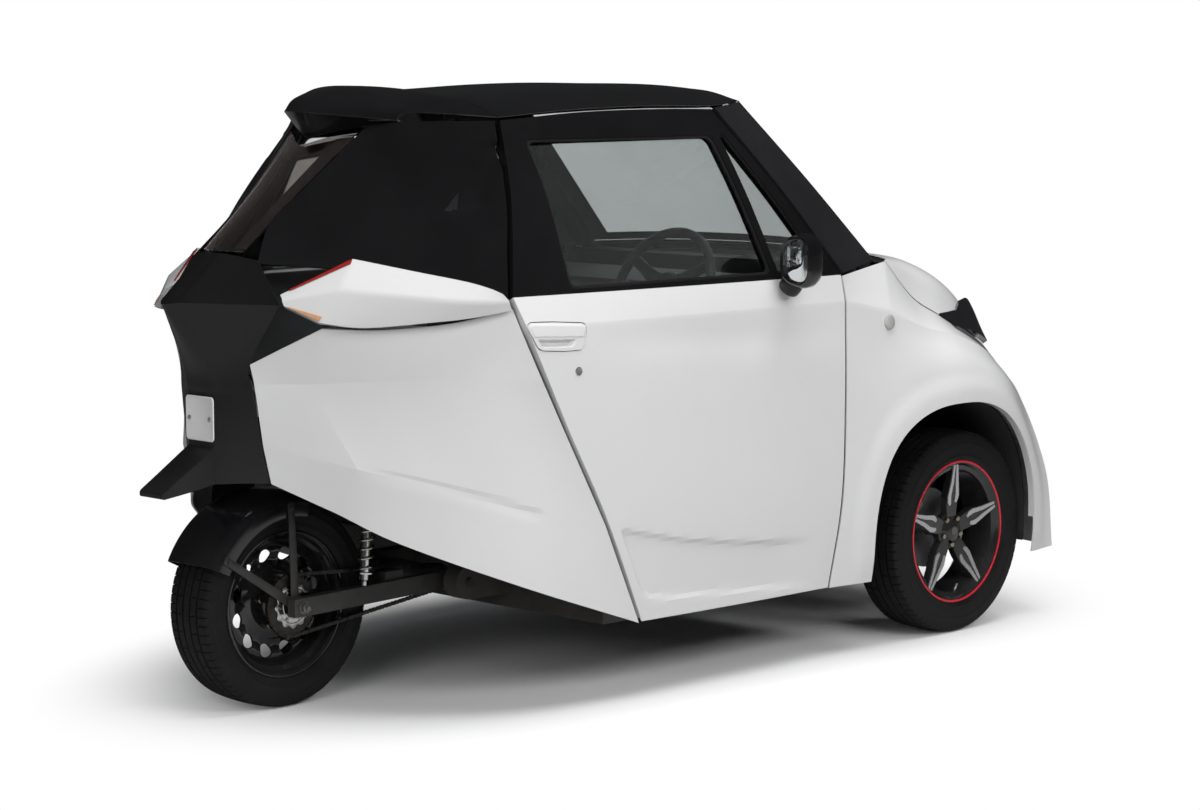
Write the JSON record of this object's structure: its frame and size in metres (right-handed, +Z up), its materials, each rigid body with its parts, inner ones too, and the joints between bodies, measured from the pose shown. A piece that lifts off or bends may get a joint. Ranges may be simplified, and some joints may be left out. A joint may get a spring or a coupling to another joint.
{
  "type": "three wheeled car",
  "caption": "Small enclosed three wheeled car with a boat tail body, steered front wheels and a single chain driven rear wheel on a swing arm.",
  "frame": {"origin": "on the ground, midway between the ends and the sides of the car", "axes": "+X forward, +Y to the car's left, +Z up"},
  "size_m": [2.9063, 1.5988, 1.5733],
  "materials": {
    "white": "pearl white gloss paint",
    "black_gloss": "gloss black paint",
    "black_plastic": "grained black plastic",
    "frame_steel": "black chassis paint",
    "window": "clear safety glass",
    "tinted_window": "dark tinted glass",
    "lamp": "clear and smoked lamp lens",
    "lamp_red": "red and amber lamp lens",
    "plate": "blank white plate",
    "trim": "soft dark trim",
    "seat_cloth": "woven dark seat cloth",
    "bare_alloy": "machined and black painted alloy",
    "tyre": "black tyre rubber",
    "black_steel": "black painted steel",
    "spring": "yellow plated spring steel",
    "steel": "bare steel"
  },
  "bodies": {
    "body": {"floor_pan": "frame_steel", "body_frame": "black_plastic", "roof": "black_gloss", "rear_spoiler": "black_gloss", "windscreen": "window", "cowl_panel": "black_plastic", "nose_panel": "white", "grille": "black_plastic", "headlamps": "lamp", "front_wings": "white", "quarter_panels": "white", "lamp_pods": "white", "tail_lamps": "lamp_red", "rear_pillars": "black_gloss", "rear_glass": "tinted_window", "tail_panel": "black_gloss", "number_plate": "plate", "dashboard": "trim", "seats": "seat_cloth", "engine": "bare_alloy", "front_arms": "frame_steel", "swing_arm": "frame_steel", "rear_shock": "spring", "rear_mudguard": "black_plastic", "chain": "steel"},
    "bonnet": {"bonnet": "white"},
    "door_right": {"door_right": "white", "door_glass_right": "window", "mirror_right": "black_gloss"},
    "door_left": {"door_left": "white", "door_glass_left": "window", "mirror_left": "black_gloss"},
    "steering_wheel": {"steering_wheel": "trim"},
    "knuckle_right": {"knuckle_right": "steel"},
    "knuckle_left": {"knuckle_left": "steel"},
    "front_wheel_right": {"front_rim_right": "bare_alloy", "front_tyre_right": "tyre"},
    "front_wheel_left": {"front_rim_left": "bare_alloy", "front_tyre_left": "tyre"},
    "rear_wheel": {"rear_rim": "black_steel", "rear_tyre": "tyre", "sprocket": "steel"}
  },
  "joints": [
    {"name": "door_right_hinge", "type": "hinge", "parent": "body", "child": "door_right", "pos_m": [0.45, -0.65, 0.6], "axis": [0, 0, 1], "range_deg": [0, 65]},
    {"name": "door_left_hinge", "type": "hinge", "parent": "body", "child": "door_left", "pos_m": [0.45, 0.65, 0.6], "axis": [0, 0, -1], "range_deg": [0, 65]},
    {"name": "bonnet_hinge", "type": "hinge", "parent": "body", "child": "bonnet", "pos_m": [0.644, 0, 1.078], "axis": [0, -1, 0], "range_deg": [0, 50]},
    {"name": "steering_spin", "type": "hinge", "parent": "body", "child": "steering_wheel", "pos_m": [0.09, -0.265, 1.015], "axis": [-0.9063, 0, 0.4226], "range_deg": [-450, 450]},
    {"name": "steer_right", "type": "hinge", "parent": "body", "child": "knuckle_right", "pos_m": [0.915, -0.47, 0.291], "axis": [0, 0, 1], "range_deg": [-30, 30]},
    {"name": "steer_left", "type": "hinge", "parent": "body", "child": "knuckle_left", "pos_m": [0.915, 0.47, 0.291], "axis": [0, 0, 1], "range_deg": [-30, 30]},
    {"name": "front_wheel_right_spin", "type": "hinge", "parent": "knuckle_right", "child": "front_wheel_right", "pos_m": [0.915, -0.5825, 0.291], "axis": [0, 1, 0], "continuous": true},
    {"name": "front_wheel_left_spin", "type": "hinge", "parent": "knuckle_left", "child": "front_wheel_left", "pos_m": [0.915, 0.5825, 0.291], "axis": [0, 1, 0], "continuous": true},
    {"name": "rear_wheel_spin", "type": "hinge", "parent": "body", "child": "rear_wheel", "pos_m": [-1.085, 0, 0.266], "axis": [0, 1, 0], "continuous": true}
  ],
  "couplings": [
    {"joint": "steer_right", "follows": "steering_spin", "ratio": 0.066667},
    {"joint": "steer_left", "follows": "steering_spin", "ratio": 0.066667}
  ]
}
